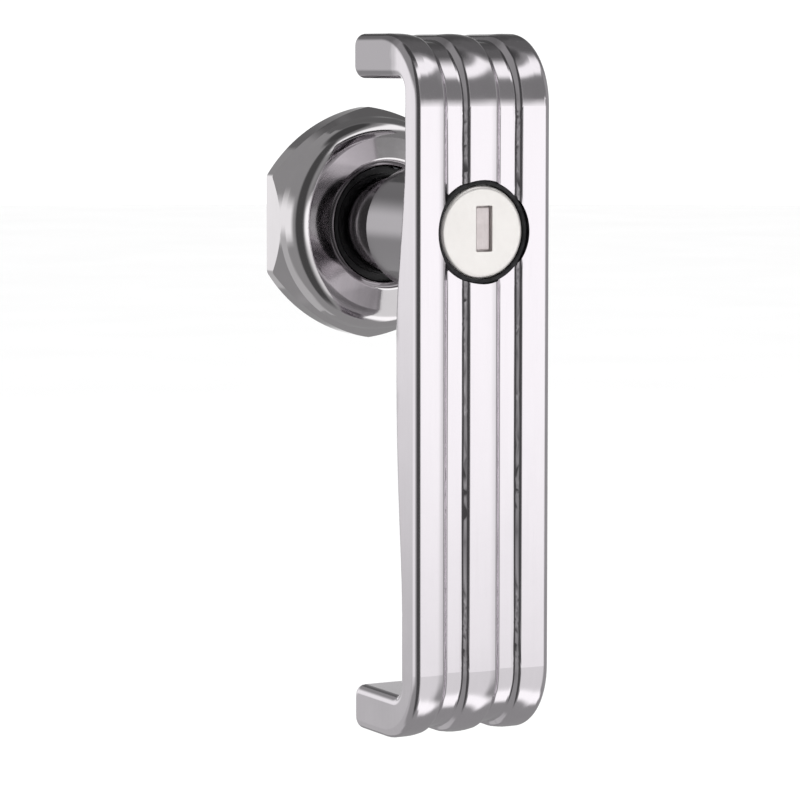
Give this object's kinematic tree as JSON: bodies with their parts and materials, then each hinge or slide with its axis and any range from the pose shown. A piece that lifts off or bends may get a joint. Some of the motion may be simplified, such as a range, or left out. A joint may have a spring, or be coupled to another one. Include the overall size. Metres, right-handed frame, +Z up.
{
  "type": "tilt turn handle",
  "caption": "Lockable chrome tilt turn handle: C-shaped ribbed grip with a key lock on its turn axis, on a six-sided rosette with a square spindle.",
  "frame": {"origin": "on the mounting face, on the axis of the square spindle", "axes": "+Z up along the grip with the long end hanging down (closed), +X to the right as the handle is faced, +Y into the sash along the spindle, -Y out towards the hand"},
  "size_m": [0.0418, 0.0795, 0.1328],
  "materials": {
    "chrome_grip": "bright chrome plate on a zinc casting",
    "chrome_cover": "bright chrome plate",
    "satin_chrome": "satin nickel-chrome lock face",
    "black_rubber": "matt black",
    "shutter_steel": "fine matt",
    "zinc": "die-cast zinc, as cast",
    "lock_zinc": "turned and nickel plated",
    "lock_brass": "machined",
    "zinc_steel": "bright zinc-plated steel",
    "spring_steel": "blackened spring steel",
    "bush_plastic": "black acetal"
  },
  "bodies": {
    "base": {"base_plate": "zinc", "rosette_cover": "chrome_cover", "bearing_bush": "bush_plastic", "collar_circlip": "spring_steel", "detent_spring": "spring_steel", "thrust_washer": "bush_plastic", "fixing_screws": "zinc_steel"},
    "handle": {"grip": "chrome_grip", "detent_wheel": "zinc", "spindle": "zinc_steel", "cross_pin": "zinc_steel", "lock_barrel": "lock_zinc", "barrel_pin": "chrome_grip", "lock_seal": "black_rubber"},
    "lock_plug": {"key_plug": "lock_brass", "plug_cap": "satin_chrome", "shutter_pin": "spring_steel", "wafers": "lock_brass", "wafer_springs": "spring_steel", "lock_cam": "zinc", "cam_screw": "zinc_steel"},
    "key_shutter": {"shutter_flap": "shutter_steel", "shutter_spring": "spring_steel"},
    "lock_bolt": {"locking_bolt": "zinc_steel", "bolt_follower": "spring_steel"}
  },
  "joints": [
    {"name": "handle_turn", "type": "hinge", "parent": "base", "child": "handle", "pos_m": [0, 0, 0], "axis": [0, 1, 0], "range_deg": [0, 180], "deforming": ["detent_spring"]},
    {"name": "plug_turn", "type": "hinge", "parent": "handle", "child": "lock_plug", "pos_m": [0, -0.0487, 0], "axis": [0, 1, 0], "range_deg": [0, 90]},
    {"name": "bolt_slide", "type": "slide", "parent": "handle", "child": "lock_bolt", "axis": [0, 1, 0], "range_m": [0, 0.0026]},
    {"name": "shutter_swing", "type": "hinge", "parent": "lock_plug", "child": "key_shutter", "pos_m": [-0.0024, -0.04655, 0], "axis": [0, 0, 1], "range_deg": [0, 75], "stiffness_Nm_per_rad": 0.0004, "springref_deg": -28.65, "deforming": ["shutter_spring"]}
  ],
  "couplings": [
    {"joint": "bolt_slide", "follows": "plug_turn", "m_per_rad": 0.0016552}
  ]
}
